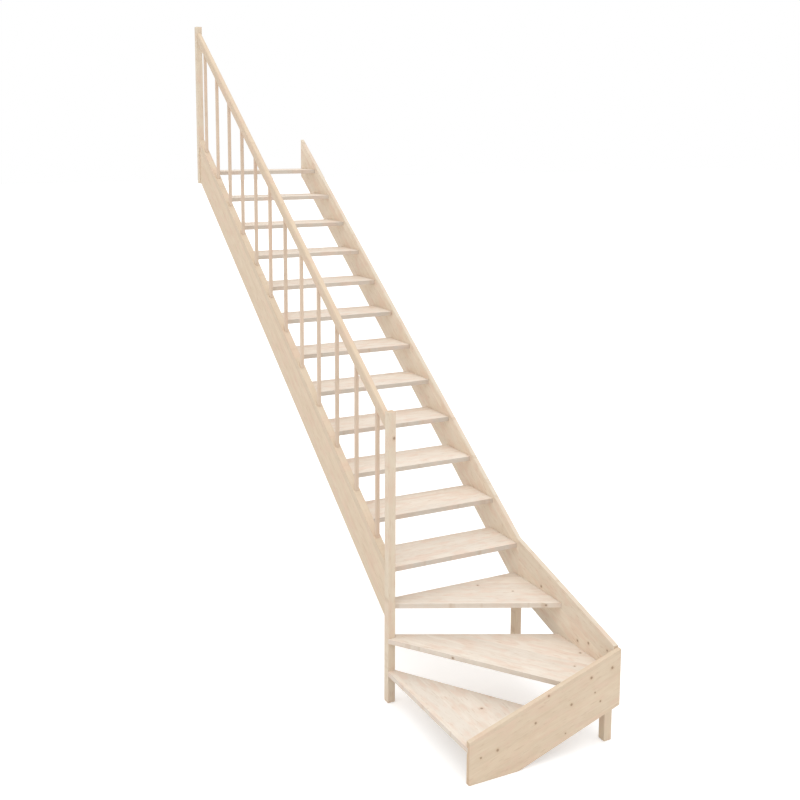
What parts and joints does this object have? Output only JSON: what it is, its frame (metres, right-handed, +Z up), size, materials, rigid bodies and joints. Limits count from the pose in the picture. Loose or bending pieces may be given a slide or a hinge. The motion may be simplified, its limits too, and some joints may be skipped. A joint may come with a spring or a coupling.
{
  "type": "corner wooden staircase",
  "caption": "Quarter-turn softwood staircase for a room corner: winder treads at the foot, a straight open-riser flight, wall strings, newels, square balusters and a handrail",
  "frame": {"origin": "at floor level on the short wall, at the entry end of the short string's outer face", "axes": "+X from the open side to the long wall, +Y up the main flight away from the short wall, +Z up"},
  "size_m": [0.9, 4.123, 3.9034],
  "materials": {
    "treads": "matte",
    "strings": "matte",
    "posts": "matte",
    "rails": "matte",
    "balusters": "matte"
  },
  "bodies": {
    "root": {"wall_string": "strings", "front_string": "strings", "open_string": "strings", "bottom_newel": "posts", "top_newel": "posts", "corner_leg": "posts", "wall_leg": "posts", "handrail": "rails", "base_rail": "rails", "winder_1": "treads", "winder_2": "treads", "winder_3": "treads", "tread_01": "treads", "tread_02": "treads", "tread_03": "treads", "tread_04": "treads", "tread_05": "treads", "tread_06": "treads", "tread_07": "treads", "tread_08": "treads", "tread_09": "treads", "tread_10": "treads", "tread_11": "treads", "tread_12": "treads", "baluster_01": "balusters", "baluster_02": "balusters", "baluster_03": "balusters", "baluster_04": "balusters", "baluster_05": "balusters", "baluster_06": "balusters", "baluster_07": "balusters", "baluster_08": "balusters", "baluster_09": "balusters", "baluster_10": "balusters", "baluster_11": "balusters", "baluster_12": "balusters"}
  },
  "joints": []
}
